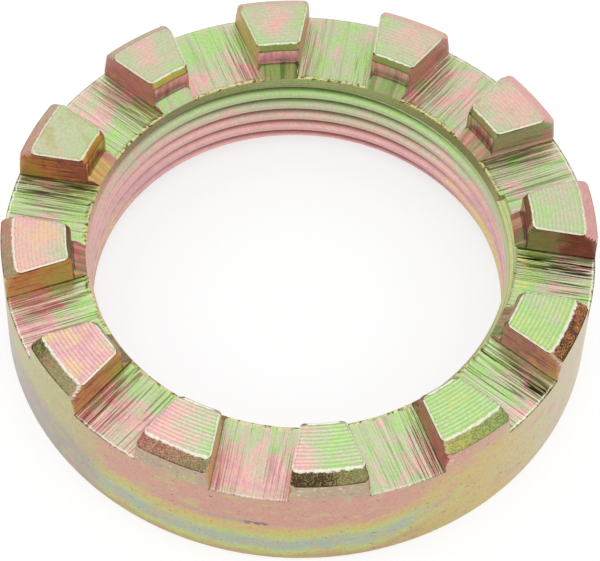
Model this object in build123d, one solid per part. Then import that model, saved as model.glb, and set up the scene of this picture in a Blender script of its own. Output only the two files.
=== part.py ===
"""Castle nut: a round ring nut with a crown of teeth between milled slots.

One solid, turned from bar and then slotted. Its thread axis is +Z, and the plane
bearing face lies on z = 0 with the crown on top. Everything is in millimetres.
"""

from build123d import *
import os
from math import radians, tan

# The thread that the nut runs on, in the fine metric series. The helix itself is
# not cut here: the bore is the plain hole that is drilled before tapping.
thread_diameter = 48.0
thread_pitch = 2.0
tapping_allowance = 1.0825 * thread_pitch

# The ring around the thread.
ring_wall = 8.5
base_height = 12.0
bearing_edge_break = 0.3

# The crown: slots milled straight across the ring, which leave a tooth between
# each two of them.
slot_count = 12
slot_width = 8.4
slot_depth = 4.0

# The crown's outer edge is turned to a flat chamfer before the slots are cut.
crown_chamfer_width = 1.4
crown_chamfer_drop = 1.0

# The counterbore inside the crown, which clears the end of the shaft's thread.
counterbore_gap = 0.9
counterbore_depth = 3.0
counterbore_corner_radius = 0.8
crown_lip = 0.5

# The cones that lead the thread in at both ends of the bore.
lead_in_angle = 45.0
bearing_mouth_gap = 0.9

thread_radius = thread_diameter / 2
bore_radius = (thread_diameter - tapping_allowance) / 2
body_radius = thread_radius + ring_wall
body_height = base_height + slot_depth
counterbore_radius = thread_radius + counterbore_gap
bearing_mouth_radius = thread_radius + bearing_mouth_gap
cutter_overrun = 1.0


def cone_height(outer_radius):
    """Height of a lead-in cone that runs from outer_radius in to the bore."""
    return (outer_radius - bore_radius) / tan(radians(lead_in_angle))


def turned_ring():
    """The nut as it leaves the lathe, revolved from one half section."""
    crown_cone_top = body_height - counterbore_depth
    with BuildPart() as ring:
        with BuildSketch(Plane.XZ) as section:
            with BuildLine():
                Polyline(
                    (bearing_mouth_radius, 0),
                    (body_radius - bearing_edge_break, 0),
                    (body_radius, bearing_edge_break),
                    (body_radius, body_height - crown_chamfer_drop),
                    (body_radius - crown_chamfer_width, body_height),
                    (counterbore_radius + crown_lip, body_height),
                    (counterbore_radius, body_height - crown_lip),
                    (counterbore_radius, crown_cone_top),
                    (bore_radius, crown_cone_top - cone_height(counterbore_radius)),
                    (bore_radius, cone_height(bearing_mouth_radius)),
                    close=True,
                )
            make_face()
            corner = section.vertices().sort_by_distance((counterbore_radius, crown_cone_top))[0]
            fillet(corner, counterbore_corner_radius)
        revolve(axis=Axis.Z)
    return ring.part


def slot_cutters():
    """One straight cutter path per slot, from the axis out past the ring."""
    reach = body_radius + cutter_overrun
    height = slot_depth + cutter_overrun
    path = Box(reach, slot_width, height, align=(Align.MIN, Align.CENTER, Align.MIN))
    return PolarLocations(0, slot_count) * (Pos(0, 0, base_height) * path)


castle_nut = turned_ring()
for cutter in slot_cutters():
    castle_nut -= cutter
castle_nut.label = "castle_nut"

os.makedirs("parts", exist_ok=True)
export_step(castle_nut, "parts/castle_nut.step")
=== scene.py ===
"""Castle nut: the finished looks of a round, slotted lock nut in zinc-plated steel.

The nut is one piece, so it is one mesh. A section is drawn and spun into the turned
blank, the thread is cut out of its bore, and the slots are milled through its crown.
The tools carry the marks that they leave, as real ones do. Sizes are in metres.
"""

from functools import partial
from math import atan2, cos, hypot, pi, radians, sin, sqrt, tan

import bmesh
import bpy
from mathutils import Matrix, Vector, noise


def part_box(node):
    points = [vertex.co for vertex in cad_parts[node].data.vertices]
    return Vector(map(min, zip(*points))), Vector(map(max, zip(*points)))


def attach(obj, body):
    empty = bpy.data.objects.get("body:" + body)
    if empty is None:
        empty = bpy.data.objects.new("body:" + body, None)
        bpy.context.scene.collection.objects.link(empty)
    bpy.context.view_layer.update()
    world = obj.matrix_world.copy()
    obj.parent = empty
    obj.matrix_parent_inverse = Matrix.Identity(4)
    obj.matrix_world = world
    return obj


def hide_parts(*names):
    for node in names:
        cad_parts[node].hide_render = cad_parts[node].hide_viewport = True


bl_info = {
    "name": "Castle nut",
    "version": (1, 0, 0),
    "blender": (4, 5, 0),
    "location": "View3D > Sidebar > Castle nut",
    "description": "Builds a slotted round nut in chromated zinc plate, and a plain studio for it",
    "category": "Object",
}

MM = 0.001
THREAD_DEPTH = 0.54125  # of an internal metric thread, in pitches
FEED_PHASE = 0.596  # where the facing spiral starts, in turns

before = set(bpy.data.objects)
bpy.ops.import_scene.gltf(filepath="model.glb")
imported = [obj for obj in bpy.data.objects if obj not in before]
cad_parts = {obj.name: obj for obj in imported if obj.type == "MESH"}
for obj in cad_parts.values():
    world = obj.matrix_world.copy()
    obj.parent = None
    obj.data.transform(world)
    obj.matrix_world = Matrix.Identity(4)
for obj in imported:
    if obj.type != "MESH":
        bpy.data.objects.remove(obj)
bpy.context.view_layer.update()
nut_low, nut_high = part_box("castle_nut")


# ---- settings


def srgb(code):
    """The linear red, green and blue of an sRGB hex colour."""
    parts = [int(code[i : i + 2], 16) / 255 for i in (1, 3, 5)]
    return tuple(p / 12.92 if p <= 0.04045 else ((p + 0.055) / 1.055) ** 2.4 for p in parts)


def length(name, default, description):
    """A size setting, from its millimetres."""
    return bpy.props.FloatProperty(
        name=name, description=description, default=default * MM, unit="LENGTH")


def degrees(name, default, description):
    """A setting for an angle, from its degrees."""
    return bpy.props.FloatProperty(
        name=name, description=description, default=radians(default), subtype="ANGLE")


def quantity(name, default, description, unit="NONE"):
    """A setting for a plain number."""
    return bpy.props.FloatProperty(name=name, description=description, default=default, unit=unit)


def paint(name, code, description):
    """A colour setting, from its sRGB hex value."""
    return bpy.props.FloatVectorProperty(
        name=name, description=description, default=srgb(code), subtype="COLOR", min=0, max=1)


def hue(name, code, kind):
    """A colour setting for the chromate film: thin, or its darker copy, which is partly thicker
    film and partly painted shade.
    """
    return paint(name, code, f"{name} in {kind} film, in order as the film thickens")


class NutSizes(bpy.types.PropertyGroup):
    """The sizes of the nut, and how strongly each tool has marked it."""

    outer_radius: length("Outer radius", (nut_high.x - nut_low.x) / 2 / MM, "Axis to the outside")
    height: length("Height", (nut_high.z - nut_low.z) / MM, "Bearing face to tooth tops")
    thread_diameter: length("Thread diameter", 48, "Across the roots of the thread")
    thread_pitch: length("Thread pitch", 2, "Rise of the thread in one turn")
    slot_count: bpy.props.IntProperty(
        name="Slots", description="How many slots, and teeth between them", default=12, min=3)
    slot_width: length("Slot width", 8.4, "Between the tops of its walls")
    slot_depth: length("Slot depth", 4, "Tooth tops to slot floor")
    chamfer_width: length("Chamfer width", 1.4, "Radial width, round the crown")
    chamfer_drop: length("Chamfer drop", 1, "Height of the same chamfer")
    mouth_gap: length("Mouth gap", 0.9, "Thread's roots to counterbore wall")
    counterbore_depth: length("Counterbore depth", 3, "Tooth tops to the thread's cone")
    shoulder_reach: length("Shoulder reach", 1.5, "Counterbore wall to its shoulder's edge")
    corner_radius: length("Corner radius", 0.8, "Left by the tool below the counterbore")
    lip_width: length("Lip width", 0.5, "Radial width of the chamfered lip")
    lip_drop: length("Lip drop", 0.75, "Height of the same lip")
    edge_break: length("Edge break", 0.3, "Chamfer round the bearing face")
    feed: length("Facing feed", 0.456, "Between rings of the facing spiral")
    feed_depth: length("Feed mark depth", 0.03, "Depth of each of those rings")
    streak_depth: length("Streak depth", 0.04, "Depth of the milling cutter's streaks")
    edge_round: length("Edge round", 0.12, "Wear on the long edges of the teeth")
    corner_wear: length("Corner wear", 0.85, "Radius worn on the teeth's outer corners")
    burr: length("Burr", 0.26, "Height of the burr at a slot's inner end")

    bore = property(lambda s: s.thread_diameter / 2 - THREAD_DEPTH * s.thread_pitch)
    mouth = property(lambda s: s.thread_diameter / 2 + s.mouth_gap)
    lip_edge = property(lambda s: s.mouth + s.lip_width)
    shoulder = property(lambda s: s.mouth - s.shoulder_reach)
    crown_edge = property(lambda s: s.outer_radius - s.chamfer_width)
    cone_top = property(lambda s: s.height - s.counterbore_depth)
    slot_floor = property(lambda s: s.height - s.slot_depth)


class NutColours(bpy.types.PropertyGroup):
    """The colours of the chromate film, in the order in which they follow as it thickens."""

    leaf: hue("Leaf", "#B4D98A", "thin")
    stone: hue("Stone", "#C8CBA8", "thin")
    rose: hue("Rose", "#EFB9B3", "thin")
    mauve: hue("Mauve", "#E0AAB0", "thin")
    peach: hue("Peach", "#EBC6A0", "thin")
    straw: hue("Straw", "#E6CF86", "thin")
    lime: hue("Lime", "#C6DB84", "thin")
    # From olive on, the colours are darker copies of those above: partly a thicker film on rough
    # steel, and partly painted shade and reflection on faces that turn sideways.
    olive: hue("Olive", "#7F8C48", "deep_and_shaded")
    tan: hue("Tan", "#A08A5C", "deep_and_shaded")
    rust: hue("Rust", "#C66A54", "deep_and_shaded")
    maroon: hue("Maroon", "#A64C42", "deep_and_shaded")
    amber: hue("Amber", "#D6843C", "deep_and_shaded")
    ochre: hue("Ochre", "#C6A048", "deep_and_shaded")
    moss: hue("Moss", "#A8A24C", "deep_and_shaded")
    burred: paint("Burr", "#DCD795", "Thin yellow film on the burrs")
    turned_edge: paint("Outside, low edge", "#BCA474", "The lowest band")
    turned_haze: paint("Outside, haze", "#AEB8A8", "The grey band over it")
    turned_green: paint("Outside, green", "#C0C97E", "The green band over that")
    turned_gold: paint("Outside, gold", "#CFBA78", "The thin gold band")
    turned_rose: paint("Outside, rose", "#D09F90", "The broad rose band")
    turned_dun: paint("Outside, dun", "#BBA58E", "The grey band under the teeth")
    turned_moss: paint("Outside, moss", "#BFBA84", "Plain film, upper part")
    # Dusk also paints a reflection that greys the thread's crests.
    turned_dusk: paint("Outside, dusk", "#AFA498", "Plain film, lower part")
    turned_sand: paint("Outside, sand", "#CDBE9F", "Plain film where it is palest")
    # Worn is also a painted highlight: on the rims, burrs and edges of the teeth and floors, and
    # on the crests of the crown's rings and the floor's strokes.
    worn: paint("Worn zinc", "#F1EEDF", "Bare zinc on worn rims and tips")
    # Groove is also painted shade: in the troughs of the crown's rings and the floor's strokes, in
    # a line inside the crown's rims, and along the feet of the slot walls.
    groove: paint("Groove", "#8A8258", "Film gathered in the tools' grooves")
    torn: paint("Torn steel", "#4C3E2C", "Thick film in steel that the cutter tore")
    # Root shade is painted shade: in the thread's roots, in the corners and under the rims of the
    # slot walls, and in lines round the counterbore. It is also the tone of the bore's chatter and
    # of one torn band.
    shade: paint("Root shade", "#5E5C48", "Grime in the thread's roots and corners")
    scuffed: paint("Scuff", "#77727A", "Grey metal where the plate is knocked")


class StudioSettings(bpy.types.PropertyGroup):
    """Where the camera stands, and how bright the lamps are."""

    azimuth: degrees("Azimuth", 7.528, "Camera's turn around the nut, from the front")
    elevation: degrees("Elevation", 55.375, "Camera's height angle above the floor")
    roll: degrees("Roll", 2.315, "Camera's turn about its line of sight")
    distance: length("Distance", 322.2, "Camera to the middle of the crown")
    aim_drop: length("Aim drop", 6.045, "How far under the crown it aims")
    lens: quantity("Lens", 178, "Focal length in millimetres, on a 36 mm sensor")
    lamp_power: quantity("Lamp power", 2, "Power of the large softbox", "POWER")
    room_light: quantity("Room light", 0.9, "Strength of the light from all around")
    paper: paint("Paper", "#A0A0A0", "The matt paper under the nut")
    paper_glow: quantity("Paper glow", 0.72, "How far the paper is lifted to white")


# ---- modelling helpers


def deselect():
    """Goes to object mode with nothing selected."""
    if bpy.context.object and bpy.context.object.mode != "OBJECT":
        bpy.ops.object.mode_set(mode="OBJECT")
    bpy.ops.object.select_all(action="DESELECT")


def take(*pieces):
    """Selects pieces in object mode, with the first one active."""
    deselect()
    for piece in pieces:
        piece.select_set(True)
    bpy.context.view_layer.objects.active = pieces[0]


def edit_all(piece):
    """Opens a piece in edit mode with all of it selected."""
    take(piece)
    bpy.ops.object.mode_set(mode="EDIT")
    bpy.ops.mesh.select_mode(type="VERT")
    bpy.ops.mesh.select_all(action="SELECT")


def face_outward():
    """Turns the normals of the piece in edit mode outward, and leaves edit mode."""
    bpy.ops.mesh.select_all(action="SELECT")
    bpy.ops.mesh.normals_make_consistent(inside=False)
    deselect()


def runs(corners, counts):
    """The points along the straight stretches between corners, a count to each, without
    the last corner."""
    return [tuple(a + (b - a) * i / count for a, b in zip(start, end))
            for start, end, count in zip(corners, corners[1:], counts) for i in range(count)]


def ripple(*place):
    """A smooth random value from -1 to 1 that is the same in each run."""
    return noise.noise(Vector(place))


def ease(value, low, high):
    """0 below low, 1 above high, and a smooth step between them."""
    part = min(max((value - low) / (high - low), 0), 1)
    return part * part * (3 - 2 * part)


def rounded(distance, radius):
    """How far a face has turned away, at a distance past the start of a round of a radius."""
    part = min(max(distance / radius, 0), 0.98)
    past = max(0, distance - 0.98 * radius)
    return radius * (1 - sqrt(1 - part * part)) + min(4 * past, 0.3 * MM)


def cut(piece, tool):
    """Takes a tool's shape out of a piece, and puts the tool away."""
    take(piece)
    cutting = piece.modifiers.new("cut", "BOOLEAN")
    cutting.object = tool
    cutting.operation = "DIFFERENCE"
    cutting.solver = "MANIFOLD"
    bpy.ops.object.modifier_apply(modifier=cutting.name)
    bpy.data.objects.remove(tool)


def joined(pieces):
    """Joins pieces that don't touch into one."""
    take(*pieces)
    bpy.ops.object.join()
    return pieces[0]


# ---- the nut


def turned_section(s):
    """The blank's section as (radius, height) points, from the bearing face's mouth and round."""
    side, low, top = s.outer_radius, s.edge_break, s.height
    bend = pi / 2 - atan2(s.cone_top - s.slot_floor, s.shoulder_reach)
    reach = s.corner_radius * tan(bend / 2)
    wall_foot = s.cone_top + reach
    corner_foot = (s.mouth - reach * sin(bend), s.cone_top - reach * cos(bend))
    cone_foot = (s.bore, s.cone_top - (s.mouth - s.bore))
    rings = int((s.crown_edge - s.lip_edge) / (s.feed / 4))
    last_ring = s.crown_edge - rings * s.feed / 4
    points = runs(
        ((s.mouth, 0), (side - low, 0), (side, low), (side, top - s.chamfer_drop),
         (s.crown_edge, top), (last_ring, top), (s.lip_edge, top),
         (s.mouth, top - s.lip_drop), (s.mouth, wall_foot)),
        (8, 2, 10, 8, rings, 1, 4, 6))
    for step in range(5):
        turn = bend * step / 5
        points.append((s.mouth - s.corner_radius * (1 - cos(turn)),
                       wall_foot - s.corner_radius * sin(turn)))
    return points + runs(
        (corner_foot, (s.shoulder, s.slot_floor), cone_foot, (s.bore, s.mouth - s.bore),
         (s.mouth, 0)), (8, 8, 1, 6))


def turned_blank(s):
    """Draws the section from one vertex and spins it into a closed ring."""
    points = turned_section(s)
    deselect()
    bpy.ops.mesh.primitive_plane_add(size=MM, location=(points[0][0], 0, points[0][1]))
    blank = bpy.context.object
    bpy.ops.object.transform_apply()
    edit_all(blank)
    bpy.ops.mesh.merge(type="CENTER")
    for (r0, z0), (r1, z1) in zip(points, points[1:] + points[:1]):
        bpy.ops.mesh.extrude_vertices_move(TRANSFORM_OT_translate={"value": (r1 - r0, 0, z1 - z0)})
    bpy.ops.mesh.select_all(action="SELECT")
    bpy.ops.mesh.spin(steps=360, angle=2 * pi, center=(0, 0, 0), axis=(0, 0, 1))
    bpy.ops.mesh.select_all(action="SELECT")
    bpy.ops.mesh.remove_doubles(threshold=0.002 * MM)
    face_outward()
    return blank


def thread_tool(s):
    """The helical shape between the thread's ridges, from open air below to the shoulder."""
    root = s.thread_diameter / 2
    half = s.thread_pitch * 3 / 8
    flat = s.thread_pitch / 16
    start = -1.095 * s.thread_pitch
    # The last turn runs out just below the slot floors.
    turns = (s.slot_floor - start) / s.thread_pitch - 0.02
    air = s.bore - 0.6 * MM
    section = [(air, -half), (s.bore, -half), (root, -flat),
               (root, flat), (s.bore, half), (air, half)]
    deselect()
    bpy.ops.mesh.primitive_circle_add(vertices=6, radius=MM)
    tool = bpy.context.object
    for vertex, (r, z) in zip(tool.data.vertices, section):
        vertex.co = (r, 0, start + z)
    sweep = tool.modifiers.new("sweep", "SCREW")
    sweep.axis = "Z"
    sweep.angle = 2 * pi * turns
    sweep.screw_offset = s.thread_pitch * turns
    sweep.steps = sweep.render_steps = round(300 * turns)
    bpy.ops.object.modifier_apply(modifier=sweep.name)
    edit_all(tool)
    bpy.ops.mesh.select_mode(type="EDGE")
    bpy.ops.mesh.select_all(action="DESELECT")
    bpy.ops.mesh.select_non_manifold()
    bpy.ops.mesh.edge_face_add()
    face_outward()
    return tool


def slot_wall(s, x, z):
    """Half the slot's width at a point of its wall, with the wear on the tooth's edges."""
    # The walls lean in by a few hundredths towards the floor.
    half = s.slot_width / 2 - 0.018 * (s.height - z) + max(0, z - (s.height - s.edge_round))
    level = min(z, s.height)
    on_chamfer = max(0, level - (s.height - s.chamfer_drop)) / s.chamfer_drop
    on_lip = max(0, level - (s.height - s.lip_drop)) / s.lip_drop
    outside = s.outer_radius - s.chamfer_width * on_chamfer
    inside = s.mouth + s.lip_width * on_lip
    worn = ease(z, s.slot_floor, s.height - 0.3 * MM)
    outer_round = s.corner_wear * (0.15 + 0.85 * worn)
    inner_round = s.corner_wear * (0.12 + 0.5 * ease(z, s.height - 1.4 * MM, s.height))
    outer_corner = sqrt(outside**2 - (s.slot_width / 2) ** 2)
    inner_corner = sqrt(inside**2 - (s.slot_width / 2) ** 2)
    half += rounded(x - (outer_corner - outer_round), outer_round)
    if z > s.slot_floor + 0.9 * MM:
        half += rounded(inner_corner + inner_round - x, inner_round)
    return half


def slot_bottom(s, x, y, number):
    """How far the cutter's floor is off its level at a point: streaks, scores and the burr."""
    leaving = 1 if cos(2 * pi * number / s.slot_count - radians(15)) > 0 else -1
    torn = ease(y * leaving, 1 * MM, 1.8 * MM) * ease(-y * leaving, -4.1 * MM, -3.2 * MM)
    broad = ripple(x / MM * 0.14, y / MM * 1.9, number * 7.3)
    fine = ripple(x / MM * 0.22, y / MM * 3.4, number * 3.7 + 40)
    score = max(0, 1 - abs(ripple(x / MM * 0.06, y / MM * 1.5, number * 9.1 + 80)) / 0.13)
    streaks = (0.6 * broad + 0.5 * fine) * (1 + 0.8 * torn) - 0.8 * score
    # The burr is rolled over the edge between the floor and the cone.
    edge = s.shoulder + 0.14 * MM
    near = max(0, 1 - abs(hypot(x, y) - edge) / (0.34 * MM))
    ragged = 0.25 + 1.2 * ripple(y / MM * 0.9, number * 2.9, 0)
    ragged += 0.8 * ripple(y / MM * 2.7, number * 5.3, 9)
    return s.streak_depth * streaks + s.burr * near * min(max(ragged, 0), 1)


def slot_tool(s, number):
    """The milling cutter's path through the crown at one slot, with the marks it leaves."""
    burr_start = s.bore + 0.2 * MM
    corner_start = s.crown_edge - s.corner_wear - 0.4 * MM
    past = s.outer_radius + 0.2 * MM
    marks = (s.bore - 0.7 * MM, burr_start, s.lip_edge - 0.4 * MM, corner_start, past)
    stations = [x for x, in runs([(mark,) for mark in marks], (2, 14, 12, 16))]
    stations += [past, past + 0.8 * MM]
    rows = [0.12, 0.3, 0.6, 1, 1.4, 1.8, 2.2, 2.55, 2.8, 3.05, 3.3, 3.5, 3.7]
    levels = [s.slot_floor + row * MM for row in rows if row * MM < s.slot_depth - 0.2 * MM]
    levels += [s.height - s.edge_round, s.height + 0.02 * MM, s.height + 1 * MM]
    deselect()
    bpy.ops.mesh.primitive_grid_add(
        x_subdivisions=len(stations) - 1, y_subdivisions=60, size=1, location=(0, 0, s.slot_floor))
    tool = bpy.context.object
    bpy.ops.object.transform_apply()
    for vertex in tool.data.vertices:
        column = round((vertex.co.x + 0.5) * (len(stations) - 1))
        vertex.co.x = stations[column]
        vertex.co.y *= 2
    edit_all(tool)
    last = s.slot_floor
    for level in levels:
        bpy.ops.mesh.extrude_region_move(TRANSFORM_OT_translate={"value": (0, 0, level - last)})
        last = level
    face_outward()
    turn = 2 * pi * number / s.slot_count
    walls = {}
    for vertex in tool.data.vertices:
        x, side, z = vertex.co
        key = (round(x / MM, 4), round(z / MM, 4))
        if key not in walls:
            walls[key] = slot_wall(s, x, z)
        y = side * walls[key]
        if abs(side) > 0.999:
            y += side * 0.03 * MM * ripple(x / MM * 0.2, z / MM * 4.5, number * 5.1 + side)
        if z < s.slot_floor + 0.001 * MM:
            z += slot_bottom(s, x, y, number)
        vertex.co = (x * cos(turn) - y * sin(turn), x * sin(turn) + y * cos(turn), z)
    return tool


# ---- materials


def add_node(tree, kind, inputs=(), stops=(), **settings):
    """Adds a node with its settings, fills or links its inputs, and sets a ramp's stops.

    A kind in capitals is the operation of a Math node. Inputs are given by name, or in the
    order of those that the node uses. A node given for an input stands for its first
    output in use.
    """
    if kind.isupper():
        kind, settings["operation"] = "Math", kind
    made = tree.nodes.new("ShaderNode" + kind)
    for name, value in settings.items():
        setattr(made, name, value)
    used = [socket for socket in made.inputs if socket.enabled]
    for key, value in inputs.items() if isinstance(inputs, dict) else enumerate(inputs):
        socket = made.inputs[key] if isinstance(key, str) else used[key]
        if isinstance(value, bpy.types.Node):
            value = next(output for output in value.outputs if output.enabled)
        if isinstance(value, bpy.types.NodeSocket):
            tree.links.new(value, socket)
        else:
            socket.default_value = (*value, 1) if socket.type == "RGBA" else value
    for index, (place, value) in enumerate(stops):
        ramp = made.color_ramp.elements
        stop = ramp[index] if index < 2 else ramp.new(place)
        stop.position = place
        stop.color = (value, value, value, 1) if isinstance(value, (int, float)) else (*value, 1)
    return made


def ring_stops(*rows):
    """A ramp's stops for values, or threes of them, at angles in degrees round the ring."""
    marks = sorted(((angle / 360 % 1, rest[0] if len(rest) == 1 else rest)
                    for angle, *rest in rows), key=lambda mark: mark[0])
    return [(0, marks[0][1]), (1, marks[0][1])] + marks


def ring_place_group(s):
    """Where a point is on the nut, in turns and millimetres, and where in its nearest slot."""
    tree = bpy.data.node_groups.new("place on the ring", "ShaderNodeTree")
    add = partial(add_node, tree)
    names = ("Turn", "Radius", "Height", "Along", "Across", "Slot", "Side")
    for name in names:
        tree.interface.new_socket(name, in_out="OUTPUT", socket_type="NodeSocketFloat")
    out = tree.nodes.new("NodeGroupOutput")
    here = add("TexCoord")
    size = add("VectorMath", {0: here.outputs["Object"], "Scale": 1 / MM}, operation="SCALE")
    part = add("SeparateXYZ", (size,))
    flat = add("VectorMath", (size, (1, 1, 0)), operation="MULTIPLY")
    radius = add("VectorMath", (flat,), operation="LENGTH")
    angle = add("ARCTAN2", (part.outputs["Y"], part.outputs["X"]))
    turn = add("DIVIDE", (angle, 2 * pi))
    turn = add("FRACT", (turn,))
    slots = add("MULTIPLY", (turn, s.slot_count))
    nearest = add("ROUND", (slots,))
    apart = add("SUBTRACT", (slots, nearest))
    apart = add("MULTIPLY", (apart, 2 * pi / s.slot_count))
    along = add("MULTIPLY", (radius, add("COSINE", (apart,))))
    across = add("MULTIPLY", (radius, add("SINE", (apart,))))
    slot = add("MODULO", (nearest, s.slot_count))
    # Side is across the slot, counted towards the wall where the cutter's teeth leave it.
    leave = add("MULTIPLY_ADD", (slot, 2 * pi / s.slot_count, -radians(15)))
    leave = add("SIGN", (add("COSINE", (leave,)),))
    side = add("MULTIPLY", (across, leave))
    slot = add("DIVIDE", (slot, s.slot_count))
    found = (turn, radius.outputs["Value"], part.outputs["Z"], along, across, slot, side)
    for name, value in zip(names, found):
        socket = value.outputs[0] if isinstance(value, bpy.types.Node) else value
        tree.links.new(socket, out.inputs[name])


def film_colour_group(c):
    """The chromate film's colour, from its thickness and its share of the darker copy, which is
    partly thicker film and partly painted shade.
    """
    tree = bpy.data.node_groups.new("chromate film colour", "ShaderNodeTree")
    add = partial(add_node, tree)
    for name in ("Film", "Deep_and_shaded"):
        tree.interface.new_socket(name, in_out="INPUT", socket_type="NodeSocketFloat")
    tree.interface.new_socket("Colour", in_out="OUTPUT", socket_type="NodeSocketColor")
    taken = tree.nodes.new("NodeGroupInput")
    out = tree.nodes.new("NodeGroupOutput")
    # The colours come round again each time that the film is one cycle thicker.
    cycle = add("FRACT", (taken.outputs["Film"],))
    places = (0, 1, 0.14, 0.28, 0.4, 0.52, 0.64, 0.8, 0.92)
    pale = (c.leaf, c.leaf, c.stone, c.rose, c.mauve, c.peach, c.straw, c.lime, c.leaf)
    # The darker copy of the colours: partly thicker film, partly painted shade and reflection.
    deep_and_shaded = (c.olive, c.olive, c.tan, c.rust, c.maroon, c.amber, c.ochre, c.moss, c.olive)
    thin = add("ValToRGB", (cycle,), stops=list(zip(places, pale)))
    thick_and_shaded = add("ValToRGB", (cycle,), stops=list(zip(places, deep_and_shaded)))
    blend = add("Mix", (taken.outputs["Deep_and_shaded"], thin, thick_and_shaded), data_type="RGBA")
    tree.links.new(blend.outputs[2], out.inputs["Colour"])


class Plate:
    """A plated finish in progress: its nodes, its colour so far, and its place on the ring."""

    def __init__(self, name, rough, metallic=1):
        self.material = bpy.data.materials.new(name + " zinc-chromate steel")
        self.material.use_nodes = True
        self.tree = self.material.node_tree
        self.shader = self.tree.nodes["Principled BSDF"]
        self.shader.inputs["Metallic"].default_value = metallic
        self.shader.inputs["Roughness"].default_value = rough
        self.film_group = bpy.data.node_groups["chromate film colour"]
        self.colour = None
        place = self.add("Group", node_tree=bpy.data.node_groups["place on the ring"])
        (self.turn, self.radius, self.height, self.along, self.across, self.slot,
         self.side) = place.outputs

    def add(self, kind, inputs=(), stops=(), **settings):
        return add_node(self.tree, kind, inputs, stops, **settings)

    def around(self, *rows, where=None):
        """Three values at once, from rows of an angle in degrees and the values there. A
        value that a row leaves out is 0."""
        stops = ring_stops(*((*row, 0, 0)[:4] for row in rows))
        ramp = self.add("ValToRGB", (where or self.turn,), stops=stops)
        values = self.add("SeparateColor", (ramp,)).outputs
        return values["Red"], values["Green"], values["Blue"]

    def cloud(self, place, detail, swirl=0):
        """Cloudy noise, about -1 to 1, that changes about once in each unit of a place."""
        waves = self.add("TexNoise", {
            "Vector": place, "Scale": 1, "Detail": detail, "Distortion": swirl})
        return self.add("MapRange", (waves, 0.25, 0.75, -1, 1), clamp=False)

    def patches(self, size, seed, flat=1, detail=2, swirl=0):
        """Cloudy noise, about -1 to 1, in patches so many millimetres wide and so flat."""
        here = self.add("TexCoord")
        grid = self.add("Mapping", {
            "Vector": here.outputs["Object"], "Location": (seed, 2 * seed, 0),
            "Scale": [part / (size * MM) for part in (1, 1, flat)]})
        return self.cloud(grid, detail, swirl)

    def waver(self, value, amount, size, seed, **noise_settings):
        """A value made to waver by an amount, in patches of a size in millimetres."""
        noise_patches = self.patches(size, seed, **noise_settings)
        return self.add("MULTIPLY_ADD", (noise_patches, amount, value))

    def drawn(self, *rates, seed=0, detail=1):
        """Noise, about -1 to 1, that changes at its own rate along each of three places."""
        point = self.add("CombineXYZ", [
            self.add("MULTIPLY_ADD", (place, rate, offset))
            for (place, rate), offset in zip(rates, (0, 0, seed))])
        return self.cloud(point, detail)

    def strokes(self, across, along, seed, detail=1):
        """Noise drawn out along each slot, with so many strokes a millimetre."""
        return self.drawn((self.across, across), (self.along, along), (self.slot, 88),
                          seed=seed, detail=detail)

    def rings(self, value, gap):
        """0 on rings that lie a gap apart, and a half midway between them."""
        part = self.add("DIVIDE", (value, gap))
        return self.add("PINGPONG", (part, 0.5))

    def far_from(self, value, middle):
        """How far a value is from a middle one."""
        gap = self.add("SUBTRACT", (value, middle))
        return self.add("ABSOLUTE", (gap,))

    def step(self, value, start, end, most=1, share=None):
        """0 to most as a value goes from start to end, times a share of another value."""
        part = self.add("MapRange", (value, start, end, 0, most), interpolation_type="SMOOTHSTEP")
        if share is None:
            return part
        return self.add("MULTIPLY", (part, share))

    def coat(self, paint, value, start, end, most=1, share=None, *, blend="MIX"):
        """Paints over the colour so far where a value goes from start to end."""
        shown = self.step(value, start, end, most, share)
        self.colour = self.add("Mix", (shown, self.colour, paint), data_type="RGBA",
                               blend_type=blend).outputs[2]

    def darken(self, *where_and_how):
        """Paints over the colour so far as coat does, but as a stain through which it shows."""
        self.coat(*where_and_how, blend="MULTIPLY")

    def film(self, thickness, deep_and_shaded):
        """Starts the colour from the chromate film."""
        self.colour = self.add("Group", {"Film": thickness, "Deep_and_shaded": deep_and_shaded},
                               node_tree=self.film_group).outputs[0]

    def finish(self, relief=None, height=0.02):
        """Puts the colour on the shader, with fine grit and a relief in millimetres."""
        grit = self.patches(0.3, 90, detail=3)
        grit = self.add("MapRange", (grit, -1, 1, 0.88, 1.08))
        gritty = self.add("VectorMath", {0: self.colour, "Scale": grit}, operation="SCALE")
        self.tree.links.new(gritty.outputs[0], self.shader.inputs["Base Color"])
        if relief is not None:
            bump = self.add("Bump", {"Distance": height * MM, "Height": relief})
            self.tree.links.new(bump.outputs[0], self.shader.inputs["Normal"])
        return self.material


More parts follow.
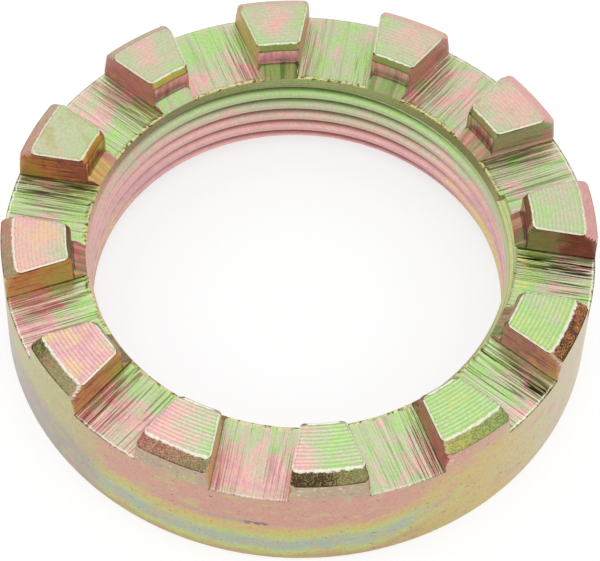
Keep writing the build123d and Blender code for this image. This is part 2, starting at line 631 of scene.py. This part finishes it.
def faced_crown(s, c):
    """Faced steel under clear film: a spiral of fine rings, and clouds of green and rose."""
    m = Plate("faced", 0.3)
    add = m.add
    # The rows' film is one too thick, so that it may be just under a whole cycle.
    film, ring_highlight_and_shade, cloudy = m.around(
        (8, 1.06, 0.3, 0.9), (22, 1.12, 0.2, 0.9), (38, 1.19, 0, 0.4), (45, 1.24, 0, 0.4),
        (52, 1.2, 0, 0.4), (68, 1.19, 0, 0.4), (75, 1.18, 0, 0.5), (81, 1.13, 0, 0.5),
        (98, 1.05, 0, 0.5), (105, 1.28, 0, 0.5), (112, 1.05, 0, 0.5), (128, 1.1, 0, 0.5),
        (136, 1.24, 0, 0.5), (143, 1.14, 0, 0.5), (158, 1.12, 0, 0.2), (172, 1.14, 0, 0.2),
        (188, 1.3, 0.16, 0.4), (202, 1.26, 0.16, 0.4), (218, 1.46, 0.5, 0.8),
        (232, 1.36, 0.5, 0.8), (249, 1.36, 0.45, 0.7), (256, 1.22, 0.45, 0.8),
        (262, 1.03, 0.5, 0.8), (278, 1.36, 0.5, 0.7), (284, 1.1, 0.6, 0.9), (292, 1, 0.6, 1),
        (308, 0.92, 0.6, 1), (322, 0.99, 0.6, 1), (338, 0.95, 0.6, 1), (352, 1.04, 0.45, 1))
    film = add("SUBTRACT", (film, 1))
    inward = add("MapRange", (m.radius, s.lip_edge / MM, 28, 0.5, 1))
    film = add("MULTIPLY", (film, inward))
    clouds = add("MULTIPLY", (m.patches(3.3, 3, swirl=0.6), cloudy))
    film = add("MULTIPLY_ADD", (clouds, 0.15, film))
    m.film(m.waver(film, 0.03, 0.8, 4), 0)
    tint = add("ValToRGB", (m.turn,), stops=ring_stops(
        (15, c.stone), (45, c.turned_sand), (75, c.turned_sand), (105, c.stone), (135, c.stone),
        (165, c.turned_moss), (195, c.peach), (225, c.straw), (255, c.rose), (285, c.stone),
        (315, c.lime), (345, c.lime)))
    m.coat(tint, m.patches(2.6, 22, swirl=0.6), 0, 0.6, 0.7)
    # The rings of the facing spiral: a painted highlight, partly wear, on their crests, and
    # painted shade in the troughs between them.
    rings = add("MULTIPLY_ADD", (m.radius, -MM / s.feed, m.turn))
    rings = add("ADD", (rings, s.crown_edge / s.feed + FEED_PHASE - 1))
    rings = m.waver(rings, 0.05, 1.1, 70)
    rings = add("PINGPONG", (rings, 0.5))
    broken = add("MapRange", (m.patches(0.6, 6), -0.7, 0.4, 0.35, 1))
    broken = add("MULTIPLY", (broken, ring_highlight_and_shade))
    m.coat(c.worn, rings, 0.16, 0.03, share=broken)
    m.darken(c.groove, rings, 0.3, 0.5, 0.3, ring_highlight_and_shade)
    # Rims, about a quarter of a millimetre wide and ragged, with a painted highlight that is
    # partly wear, and a line of painted shade just inside them.
    off = m.far_from(m.across, 0)
    off = add("SUBTRACT", (off, s.slot_width / 2 / MM))
    outer = add("SUBTRACT", (s.crown_edge / MM, m.radius))
    # How far the outer rim's painted highlight and wear are held back from its edge, and how
    # strong they are on the other rims.
    faint, rim_highlight_and_wear, _ = m.around(
        (10, 0, 0.8), (40, 0.2, 0.55), (150, 0.2, 0.5), (185, 0.05, 0.8), (210, 0, 0.85),
        (350, 0, 0.85))
    outer = add("ADD", (outer, faint))
    inner = add("SUBTRACT", (m.radius, s.lip_edge / MM))
    near = add("SMOOTH_MIN", (off, outer, 0.3))
    near = add("SMOOTH_MIN", (near, inner, 0.4))
    near = m.waver(near, 0.1, 0.5, 9, detail=3)
    m.coat(c.worn, near, 0.22, 0.06, 1, rim_highlight_and_wear)
    # Painted shade: a dark line just inside the rims.
    m.darken(c.groove, m.far_from(near, 0.27), 0.05, 0.01, 0.35)
    return m.finish()


def rough_chamfer(s, c):
    """Rough-turned steel: torn grain of about 0.2 mm that holds an olive and brown film, partly
    thicker film and partly painted shade from the film's darker copy.
    """
    m = Plate("rough-turned", 0.42)
    film, deep_and_shaded, torn = m.around(
        (15, 0.3, 0.2, 0.15), (45, 0.26, 0.1, 0.08), (75, 0.25, 0.15, 0.08),
        (105, 0.18, 0.15, 0.08), (135, 0.17, 0.35, 0.12), (165, 0.2, 0.45, 0.2),
        (190, 0.22, 0.65, 0.3), (202, 0.16, 0.7, 0.35), (216, 0.05, 1, 1.1), (220, 0.06, 1, 0.9),
        (223, 0.14, 0.75, 0.4), (233, 0.15, 0.7, 0.35), (247, 0.28, 0.7, 0.6),
        (256, 0.19, 0.72, 0.55), (263, 0.08, 0.78, 0.6), (278, 0.1, 1, 2), (284, 0.08, 1, 1.7),
        (287, 0.1, 0.9, 0.6), (292, 0.07, 0.85, 0.4), (307, 0.72, 0.5, 0.5), (313, 0.8, 0.5, 0.45),
        (323, 0.94, 0.45, 0.6), (338, 0.5, 0.9, 1.3), (345, 0.46, 0.9, 1.2), (352, 0.48, 0.9, 0.8))
    grain = m.patches(0.17, 5, flat=1.5, detail=4)
    film = m.add("MULTIPLY_ADD", (grain, 0.03, film))
    m.film(m.waver(film, 0.06, 1.4, 6), deep_and_shaded)
    m.coat(c.torn, torn, 0.4, 2.4, 0.6)
    m.coat(c.torn, m.waver(grain, 0.35, 0.8, 36), 0.45, -0.55, share=torn)
    m.coat(c.stone, grain, 0.3, 0.9, 0.35)
    low = m.add("SUBTRACT", (m.height, (s.height - s.chamfer_drop) / MM))
    m.coat(c.torn, m.waver(low, 0.06, 0.6, 8), 0.12, 0.03, 0.9, deep_and_shaded)
    # A painted highlight on the burr that the mill left on the corner where its teeth come out.
    bright = m.add("ValToRGB", (m.turn,), stops=ring_stops(
        (8, 0), (201, 0), (226, 0.6), (233, 0.8), (262, 0.2), (308, 0.2), (338, 0.4), (345, 0.3)))
    corner = m.far_from(m.side, s.slot_width / 2 / MM)
    m.coat(c.worn, m.waver(corner, 0.12, 0.5, 9), 0.5, 0.25, 1, bright)
    # A painted highlight, partly wear, along the chamfer's top edge.
    top = s.height / MM
    worn = m.add("MapRange", (deep_and_shaded, 0.1, 0.5, 0.2, 1))
    m.coat(c.worn, m.waver(m.height, 0.08, 0.5, 2), top - 0.16, top - 0.05, 1, worn)
    return m.finish(grain, 0.03)


def milled_floor(s, c):
    """Milled steel: fine strokes and long scores under cloudy film, and a dark, torn band on
    the side where the cutter leaves."""
    m = Plate("milled", 0.34)
    add = m.add
    outside, inside, marks_and_painted_light = m.around(
        (0, 1.14, 0.84, 0.9), (30, 1.1, 1.1, 0.7), (60, 1.18, 1.16, 0.4), (90, 1.11, 1.05, 0.15),
        (120, 1.04, 1.24, 0.2), (150, 1.17, 0.96, 0.35), (180, 1.1, 0.92, 0.7),
        (210, 1.36, 1.04, 0.75), (240, 1.35, 1.02, 0.75), (270, 1.32, 1.12, 0.4),
        (300, 1.15, 1.05, 0.35), (330, 1.12, 1.04, 0.9),
        where=m.slot)
    outward = m.waver(m.along, 1.6, 2.4, 30, swirl=0.5)
    outward = m.step(outward, 25.2, 28.8)
    film = add("Mix", (outward, inside, outside))
    fine = m.strokes(5.2, 0.12, 5, 2)
    broad = m.strokes(1.3, 0.1, 2)
    film = m.waver(film, 0.17, 2.3, 1, swirl=0.6)
    film = add("MULTIPLY_ADD", (broad, 0.05, film))
    m.film(m.waver(film, 0.05, 0.7, 9), 0)
    m.coat(c.stone, m.patches(1.6, 60), -0.3, 0.8, 0.75)
    # A painted highlight on the strokes' tips and painted shade in their grooves, with a few long
    # dark scores.
    m.coat(c.worn, fine, 0.25, 0.8, 0.45, marks_and_painted_light)
    shaded_grooves_and_scores = add("MULTIPLY_ADD", (broad, 0.4, fine))
    shaded_grooves_and_scores = m.step(shaded_grooves_and_scores, -0.1, -0.8, 0.8)
    scores = m.step(m.far_from(m.strokes(0.9, 0.01, 8, 0), 0), 0.06, 0.01, 0.9)
    shaded_grooves_and_scores = add("MAXIMUM", (shaded_grooves_and_scores, scores))
    m.darken(c.groove, shaded_grooves_and_scores, 0, 1, 0.95, marks_and_painted_light)
    # Where the torn band lies, half its width, and how dark it is.
    middle, half, dark = m.around(
        (0, 2.4, 1, 1), (30, 3.3, 0.9, 0.7), (60, 2.6, 0.8, 0.5), (90, 2.2, 0.3, 0.2),
        (120, 2.6, 0.4, 0.35), (150, 2.2, 0.7, 0.6), (180, 2.8, 1.3, 0.8), (210, 1.7, 0.7, 0.65),
        (240, 2.6, 0.7, 0.7), (270, 3.7, 0.3, 0.3), (300, 3.3, 0.7, 0.45), (330, 2.1, 0.8, 1),
        where=m.slot)
    off = add("DIVIDE", (m.far_from(m.side, middle), half))
    torn = m.step(off, 1.4, 0.5, 1, dark)
    stain = add("ValToRGB", (m.slot,), stops=ring_stops(
        (0, c.torn), (30, c.shade), (60, c.rust), (120, c.torn), (150, c.maroon), (180, c.torn),
        (210, c.maroon), (240, c.maroon), (270, c.amber), (300, c.rust), (330, c.torn)))
    m.darken(stain, m.strokes(3.6, 0.22, 11, 3), -0.15, 0.3, 1, torn)
    # Painted shade along the feet of the walls and the outer edge, and a painted highlight on the
    # burr just inside the outer edge.
    foot = m.far_from(m.across, 0)
    foot = add("SUBTRACT", (s.slot_width / 2 / MM - 0.07, foot))
    outer = add("SUBTRACT", (s.outer_radius / MM, m.radius))
    outer = m.waver(outer, 0.1, 0.5, 14)
    m.coat(c.worn, m.far_from(outer, 0.25), 0.12, 0.04, 1, marks_and_painted_light)
    edge = m.waver(add("MINIMUM", (foot, outer)), 0.06, 0.5, 4)
    m.darken(c.groove, edge, 0.13, 0.04, 1, marks_and_painted_light)
    # The burr at the inner end is thin, its film is yellow, and dark where it is chipped.
    inner = m.waver(m.radius, 0.12, 0.7, 4)
    burr_edge = s.shoulder / MM
    yellow = m.step(inner, burr_edge + 0.42, burr_edge + 0.1)
    m.coat(c.burred, yellow, 0, 1, 0.7)
    m.darken(c.groove, m.patches(0.45, 7), 0.15, 0.4, 0.9, yellow)
    return m.finish(fine, 0.02)


def milled_wall(s, c):
    """Slot walls, cut by the side of the mill: fine level lines under a mottled film that half
    hides the metal, much of it in the film's darker copy, a painted shade for the dark
    surroundings that these upright faces reflect."""
    m = Plate("side-milled", 0.36, 0.22)
    add = m.add
    outside, inside, lean = m.around(
        (8, 0.34, 0.06), (38, 0.05, 0.03, 0.05), (68, 0.26, 0.2, 0.03), (98, 0.54, 0.46),
        (112, 0.62, 0.64), (141, 0.31, 0.26, 0.02), (171, 0.48, 0.34, 0.03),
        (201, 0.53, 0.56, 0.02), (231, 0.47, 0.55, 0.02), (261, 0.6, 0.54), (308, 0.34, 0.38),
        (338, 0.43, 0.28, 0.02))
    deep_and_shaded, dim, salmon = m.around(
        (8, 1, 0.6), (38, 0.7, 0, 1), (68, 0.8, 0, 0.4), (98, 0.6), (112, 0.5), (141, 0.75),
        (171, 0.95, 0.2), (201, 0.85), (231, 0.8), (261, 0.5), (308, 0.9), (338, 0.65, 0, 0.2))
    outward = m.step(m.waver(m.along, 1.6, 1.8, 30), 26, 30)
    film = add("Mix", (outward, inside, outside))
    drop = add("SUBTRACT", (s.height / MM, m.height))
    film = add("MULTIPLY_ADD", (drop, lean, film))
    film = m.waver(film, 0.1, 1.5, 7, swirl=0.6)
    lines = m.drawn((m.height, 3.6), (m.along, 0.22), (m.turn, 30), detail=3)
    film = add("MULTIPLY_ADD", (lines, 0.08, film))
    m.film(film, deep_and_shaded)
    m.darken(c.groove, lines, -0.15, -0.6, 0.5)
    m.darken(c.torn, outward, 0.1, 0.8, 0.8, dim)
    # Painted shade in the corners at the foot and the inner end, and at the top a rim with a
    # painted highlight, partly wear, over a line of painted shade.
    foot = add("SUBTRACT", (m.height, s.slot_floor / MM))
    inner = m.far_from(m.radius, s.mouth / MM)
    edge = add("MINIMUM", (foot, inner))
    m.darken(c.shade, edge, 0.2, 0.04, 0.7)
    m.coat(c.rose, foot, 0.9, 0.2, 1, salmon)
    top = s.height / MM
    ragged = m.waver(m.height, 0.08, 0.6, 2, detail=3)
    m.darken(c.shade, ragged, top - 0.34, top - 0.22, 0.6)
    m.coat(c.worn, ragged, top - 0.17, top - 0.1)
    return m.finish(lines, 0.02)


def bored_mouth(s, c):
    """Bored steel inside the crown: a lip made dark by the film's darker copy, partly painted
    shade, a wall with chatter, and a shoulder.
    """
    m = Plate("bored", 0.3)
    add = m.add
    top, foot_level = s.height / MM, (s.cone_top + 0.15 * MM) / MM
    lip_foot = top - s.lip_drop / MM
    wall, deep_and_shaded, _ = m.around(
        (15, 0.36, 0.8), (45, 0.24, 0.6), (68, 0.16, 0.6), (82, 0.24, 0.55), (105, 0.36, 0.35),
        (135, 0.33, 0.45), (160, 0.58, 0.8), (170, 0.52, 0.85), (195, 0.36, 0.8), (225, 0.38, 0.6),
        (270, 0.3, 0.5), (345, 0.34, 0.6))
    # The film of the shoulder, its share of the film's darker copy, which is partly painted shade,
    # and the film of the lip.
    shoulder, stained_and_shaded, lip = m.around(
        (8, 0.14, 0.8, 0.2), (20, 0.22, 0.8, 0.2), (45, 0.17, 0.6, 0.05), (68, 0.1, 0.6, 0.03),
        (82, 0.02, 0.6, 0.02), (98, 0, 0.9, 0.02), (112, 0.06, 0.8, 0.02), (128, 0.1, 0.2, 0.8),
        (150, 0.03, 0.15, 0.72), (165, 0.6, 0.5, 0.6), (195, 0.25, 0.7, 0.12),
        (270, 0.1, 0.6, 0.1), (345, 0.16, 0.7, 0.15))
    height = m.waver(m.height, 0.15, 1.4, 2)
    on_wall = m.step(height, foot_level - 0.1, foot_level + 0.2)
    film = add("Mix", (on_wall, shoulder, wall))
    deep_and_shaded = add("Mix", (on_wall, stained_and_shaded, deep_and_shaded))
    m.film(m.waver(film, 0.13, 1.4, 12, swirl=0.5), deep_and_shaded)
    # The boring tool chattered: upright bands, about half a millimetre apart.
    bands = 2 * pi * s.mouth / MM * 1.9
    chatter = m.drawn((m.turn, bands), (m.height, 0.2), (m.slot, 0), detail=2)
    m.darken(c.shade, chatter, 0.32, -0.48, 0.6, deep_and_shaded)
    # The lip, in the film's darker copy, which is partly painted shade, and lines of painted shade
    # under it and at the foot of the wall.
    lip = m.waver(lip, 0.08, 1.4, 2)
    lip = add("Group", {"Film": lip, "Deep_and_shaded": 0.95}, node_tree=m.film_group)
    m.coat(lip, m.height, lip_foot - 0.06, lip_foot + 0.06)
    m.darken(c.shade, m.far_from(m.height, lip_foot), 0.15, 0.03, 0.5)
    m.darken(c.shade, m.far_from(m.height, foot_level), 0.25, 0.05, 0.35)
    # A painted highlight, partly wear, on the top rim.
    m.coat(c.worn, m.waver(m.height, 0.08, 0.5, 2), top - 0.14, top - 0.05)
    return m.finish()


def cut_thread(s, c):
    """Cut thread, bright on its flanks, with painted shade in its roots and a painted reflection
    greying its crests, and the cone above it.
    """
    m = Plate("thread-cut", 0.3)
    add = m.add
    root, bore = s.thread_diameter / 2 / MM, s.bore / MM
    # The film at the top, the middle and the foot of the thread.
    high, mid, low = m.around(
        (5, 0.14, 0.34, 0.6), (30, 0.1, 0.3, 0.58), (45, 0.04, 0.26, 0.5), (60, 0.02, 0.2, 0.38),
        (90, 0, 0.18, 0.3), (120, 0.06, 0.26, 0.3), (145, 0.12, 0.28, 0.38),
        (165, 0.24, 0.32, 0.5), (180, 0.28, 0.34, 0.48), (270, 0.2, 0.28, 0.34),
        (345, 0.16, 0.3, 0.44))
    height = m.waver(m.height, 0.8, 2.5, 3)
    film = add("Mix", (m.step(height, 9.8, 6.4), high, mid))
    film = add("Mix", (m.step(height, 6, 3.2), film, low))
    # The cone's film, its share of the film's darker copy, which is partly painted shade, and how
    # yellow it is.
    on_cone, deep_and_shaded, yellow = m.around(
        (10, 0.08, 0.2, 0.5), (28, 0.02, 0.3, 0.5), (40, 0.02, 0.45, 0.3), (58, 0, 0.2, 0.3),
        (75, 0, 0, 0.3), (90, 0, 0, 0.25), (120, 0.04, 0.05, 0.2), (145, 0.16, 0.05, 0.1),
        (165, 0.24, 0.05, 0.2), (180, 0.26, 0.1, 0.2), (270, 0.2, 0.1, 0.1), (345, 0.1, 0.4, 0.3))
    under = add("SUBTRACT", (m.radius, m.height))
    under = add("SUBTRACT", (under, (s.mouth - s.cone_top) / MM))
    under = m.step(under, 0.1, 0.5)
    film = add("Mix", (under, on_cone, film))
    deep_and_shaded = add("Mix", (under, deep_and_shaded, 0.06))
    m.film(m.waver(film, 0.06, 1.3, 14), deep_and_shaded)
    cone = m.step(under, 1, 0)
    m.coat(c.burred, cone, 0, 1, 1, yellow)
    # The boring tool's rings, a quarter of a millimetre apart on the cone.
    m.darken(c.groove, m.rings(m.height, 0.25), 0.2, 0.05, 0.35, cone)
    # Painted reflection: the crests next to the bore greyed with dusk, for the far side of the
    # thread that they mirror.
    m.coat(c.turned_dusk, m.radius, bore + 0.3, bore + 0.05, 0.3)
    # Painted shade down in the thread's roots.
    m.darken(c.shade, m.radius, root - 1, root - 0.1, 0.6, under)
    return m.finish()


def turned_outside(s, c):
    """Smooth-turned outside: level bands that fade into plain film at both sides, with clouds,
    flecks, scratches and one knock."""
    m = Plate("turned", 0.36)
    add = m.add
    # How high the bands have climbed, how plain they are, and how sandy the film is.
    climb, banded, sandy = m.around(
        (10, 0.2, 0, 1), (40, 0.1, 0.3, 0.5), (80, 0.1, 0.9), (130, 0.05, 0.9),
        (170, 0.1, 0.3, 0.1), (205, 0.1, 0, 0.2), (228, 0.05, 0.05), (236, 0, 0.4), (243, 0, 0.95),
        (292, 0, 1), (299, 0.2, 0.95), (306, 0.4, 0.5), (316, 0.6, 0, 0.1), (328, 0.6, 0, 0.5),
        (340, 0.4, 0, 0.9))
    height = add("MULTIPLY_ADD", (climb, -5, m.height))
    height = m.waver(height, 0.6, 6, 2, flat=0.5)
    height = m.waver(height, 0.35, 1.6, 5, flat=1.8)
    part = add("DIVIDE", (height, s.height / MM))
    bands = add("ValToRGB", (part,), stops=(
        (0, c.turned_edge), (1, c.turned_dun), (0.04, c.turned_edge),
        (0.1, c.turned_green), (0.17, c.turned_haze), (0.23, c.turned_haze),
        (0.31, c.turned_green), (0.36, c.turned_gold), (0.39, c.turned_gold),
        (0.46, c.turned_rose), (0.74, c.turned_rose), (0.82, c.turned_dun)))
    # Plain film: moss over dusk on the left of the nut, and rose over gold on its right.
    upper = m.step(height, 5, 8.5)
    plain = add("Mix", (upper, c.turned_dusk, c.turned_moss), data_type="RGBA")
    golden = m.step(height, 11, 7.5)
    golden = add("Mix", (golden, c.turned_rose, c.turned_gold), data_type="RGBA")
    right = m.step(m.turn, 290 / 360, 305 / 360)
    m.colour = add("Mix", (right, plain, golden), data_type="RGBA").outputs[2]
    m.coat(bands, m.waver(banded, 0.15, 6, 2, flat=0.5), 0, 1)
    m.coat(c.turned_sand, m.waver(sandy, 0.2, 2.5, 8, flat=0.6), 0, 1)
    # Clouds of green and rose, drawn out along the turning.
    for size, seed, cloud in ((2.2, 12, c.turned_green), (3, 16, c.turned_rose)):
        m.coat(cloud, m.patches(size, seed, flat=1.8, detail=3, swirl=0.5), 0, 0.9, 0.55)
    # Flecks and scratches of a few tenths of a millimetre.
    m.darken(c.groove, m.patches(0.6, 31, flat=2.4, detail=1), 0.82, 1, 0.8)
    under = m.step(m.height, 11.2, 14.4, 0.6)
    m.coat(c.worn, m.patches(0.6, 41, flat=1.8), 0.5, 0.8, 1, under)
    # The knock: a broken dark mark with a pale streak behind it.
    ragged = m.patches(0.7, 51, flat=2)
    level = add("MULTIPLY_ADD", (ragged, 0.2, m.height))
    level = m.step(m.far_from(level, 7.15), 0.34, 0.16)
    m.coat(c.turned_dusk, m.far_from(m.turn, 265 / 360), 9 / 360, 6 / 360, 0.6, level)
    pieces = m.step(ragged, -0.3, 0.1, 1, level)
    m.coat(c.scuffed, m.far_from(m.turn, 271.8 / 360), 2.8 / 360, 1.8 / 360, 1, pieces)
    return m.finish(m.patches(0.8, 17, flat=6), 0.004)


def faced_bearing(s, c):
    """The bearing face, turned flat, with faint rings in a yellow-green film."""
    m = Plate("faced bearing", 0.34)
    film = m.add("MULTIPLY_ADD", (m.patches(4, 41, swirl=0.5), 0.25, 0.78))
    m.film(film, 0.1)
    rings = m.rings(m.radius, 0.3)
    m.coat(c.worn, rings, 0.12, 0.02, 0.3)
    return m.finish(rings, 0.01)


FINISHES = (turned_outside, faced_bearing, faced_crown, rough_chamfer, milled_floor,
            milled_wall, bored_mouth, cut_thread)


def finish_of(face, s):
    """Which of the tools made a face, from its place and direction."""
    (x, y, z), normal = face.calc_center_median(), face.normal
    radius = hypot(x, y)
    outward = (normal.x * x + normal.y * y) / radius
    slot_turn = 2 * pi / s.slot_count
    apart = (atan2(y, x) + slot_turn / 2) % slot_turn - slot_turn / 2
    beyond = abs(radius * sin(apart)) - s.slot_width / 2
    if z < 0.001 * MM or normal.z < -0.99:
        return faced_bearing
    if z > s.slot_floor - 0.13 * MM and normal.z > 0.2 and beyond < -0.03 * MM:
        return milled_floor
    if z > s.height - 0.2 * MM and normal.z > 0.35 and s.lip_edge < radius < s.crown_edge:
        return faced_crown
    sideways = abs(normal.z) < 0.6 and abs(outward) < 0.85
    if z > s.slot_floor - 0.2 * MM and sideways and beyond < 0.3 * s.corner_wear:
        return milled_wall
    if radius > s.crown_edge:
        return rough_chamfer if z > s.height - s.chamfer_drop else turned_outside
    if z > s.slot_floor - 0.05 * MM and radius < s.lip_edge + 0.01 * MM:
        return bored_mouth
    return cut_thread


class CASTLENUT_OT_nut(bpy.types.Operator):
    """Turns, threads, slots and plates the castle nut"""

    bl_idname = "castlenut.nut"
    bl_label = "Castle nut"

    def execute(self, context):
        s = context.scene.nut_sizes
        c = context.scene.nut_colours
        nut = turned_blank(s)
        cut(nut, thread_tool(s))
        cut(nut, joined([slot_tool(s, number) for number in range(s.slot_count)]))
        nut.name = nut.data.name = "castle_nut_finished"
        ring_place_group(s)
        film_colour_group(c)
        nut.data.materials.clear()
        for finish in FINISHES:
            nut.data.materials.append(finish(s, c))
        mesh = bmesh.new()
        mesh.from_mesh(nut.data)
        for face in mesh.faces:
            face.material_index = FINISHES.index(finish_of(face, s))
        # The facing tool leaves a spiral of shallow troughs on the crown.
        for vertex in mesh.verts:
            if abs(vertex.co.z - s.height) < 0.01 * MM:
                radius = hypot(vertex.co.x, vertex.co.y)
                turn = atan2(vertex.co.y, vertex.co.x) / (2 * pi)
                part = ((s.crown_edge - radius) / s.feed + turn + FEED_PHASE) % 1 * 2 - 1
                vertex.co.z -= s.feed_depth * (1 - part * part)
        mesh.to_mesh(nut.data)
        mesh.free()
        take(nut)
        bpy.ops.object.shade_smooth_by_angle(angle=radians(28))
        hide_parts("castle_nut")
        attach(nut, "root")
        return {"FINISHED"}


# ---- the studio


def emptied(holder):
    """What adds nodes to a material or a world, after its own nodes are gone."""
    holder.use_nodes = True
    holder.node_tree.nodes.clear()
    return partial(add_node, holder.node_tree)


def seen_rays(add):
    """1 for rays by which the camera, polished metal and glass see a surface, else 0."""
    ray = add("LightPath").outputs
    seen = add("MAXIMUM", (ray["Is Camera Ray"], ray["Is Glossy Ray"]))
    return add("MAXIMUM", (seen, ray["Is Transmission Ray"]))


class CASTLENUT_OT_stage(bpy.types.Operator):
    """Sets up the camera, the paper and the soft lamps"""

    bl_idname = "castlenut.stage"
    bl_label = "Stage"

    def execute(self, context):
        scene = context.scene
        studio = scene.nut_studio
        middle = Vector((0, 0, scene.nut_sizes.height))

        camera = bpy.data.objects.new("camera", bpy.data.cameras.new("camera"))
        camera.data.lens = studio.lens
        camera.data.sensor_width = 36
        camera.data.clip_start = 0.01
        camera.matrix_world = (
            Matrix.Translation(middle)
            @ Matrix.Rotation(studio.azimuth, 4, "Z")
            @ Matrix.Rotation(pi / 2 - studio.elevation, 4, "X")
            @ Matrix.Rotation(studio.roll, 4, "Z")
            @ Matrix.Translation((0, -studio.aim_drop, studio.distance)))
        scene.collection.objects.link(camera)
        scene.camera = camera

        deselect()
        bpy.ops.mesh.primitive_plane_add(size=6, location=(0, 0, -0.05 * MM))
        paper = bpy.context.object
        bpy.ops.object.transform_apply()
        paper.name = "studio_paper"
        matt = bpy.data.materials.new("matt white background paper")
        add = emptied(matt)
        glow = add("MULTIPLY", (seen_rays(add), studio.paper_glow))
        lit = add("BsdfDiffuse", {"Color": studio.paper})
        bright = add("Emission", {"Color": (1, 1, 1), "Strength": glow})
        both = add("AddShader", (lit, bright))
        add("OutputMaterial", {"Surface": both})
        paper.data.materials.append(matt)

        for name, place, size, share in (
            ("softbox", (-0.35, 0.1, 1.5), 1.4, 1),
            ("fill", (0.9, -0.5, 0.9), 1.2, 0.35),
        ):
            lamp = bpy.data.lights.new(name, "AREA")
            lamp.shape = "SQUARE"
            lamp.size = size
            lamp.energy = studio.lamp_power * share
            holder = bpy.data.objects.new(name, lamp)
            holder.location = place
            holder.rotation_euler = (Vector(place) - middle).to_track_quat("Z", "Y").to_euler()
            scene.collection.objects.link(holder)

        world = bpy.data.worlds.new("plain studio")
        scene.world = world
        add = emptied(world)
        level = add("MapRange", {
            "Value": seen_rays(add), "To Min": studio.room_light, "To Max": 1})
        light = add("Background", {"Color": (1, 1, 1), "Strength": level})
        add("OutputWorld", {"Surface": light})
        scene.view_settings.view_transform = "Standard"
        return {"FINISHED"}


class VIEW3D_PT_castle_nut(bpy.types.Panel):
    """Builds the nut and its studio from their settings"""

    bl_label = "Castle nut"
    bl_space_type = "VIEW_3D"
    bl_region_type = "UI"
    bl_category = "Castle nut"

    def draw(self, context):
        scene = context.scene
        for label, groups, operator in (
            ("Nut", (scene.nut_sizes, scene.nut_colours), "castlenut.nut"),
            ("Studio", (scene.nut_studio,), "castlenut.stage"),
        ):
            box = self.layout.box()
            box.label(text=label)
            for group in groups:
                for name in group.__annotations__:
                    box.prop(group, name)
            box.operator(operator)


settings = {"nut_sizes": NutSizes, "nut_colours": NutColours, "nut_studio": StudioSettings}
classes = (*settings.values(), CASTLENUT_OT_nut, CASTLENUT_OT_stage, VIEW3D_PT_castle_nut)


def register():
    for kind in classes:
        bpy.utils.register_class(kind)
    for name, kind in settings.items():
        setattr(bpy.types.Scene, name, bpy.props.PointerProperty(type=kind))


def unregister():
    for name in settings:
        delattr(bpy.types.Scene, name)
    for kind in reversed(classes):
        bpy.utils.unregister_class(kind)


def main():
    """Builds everything in order."""
    register()
    bpy.ops.castlenut.nut()
    bpy.ops.castlenut.stage()


if __name__ == "__main__":
    main()
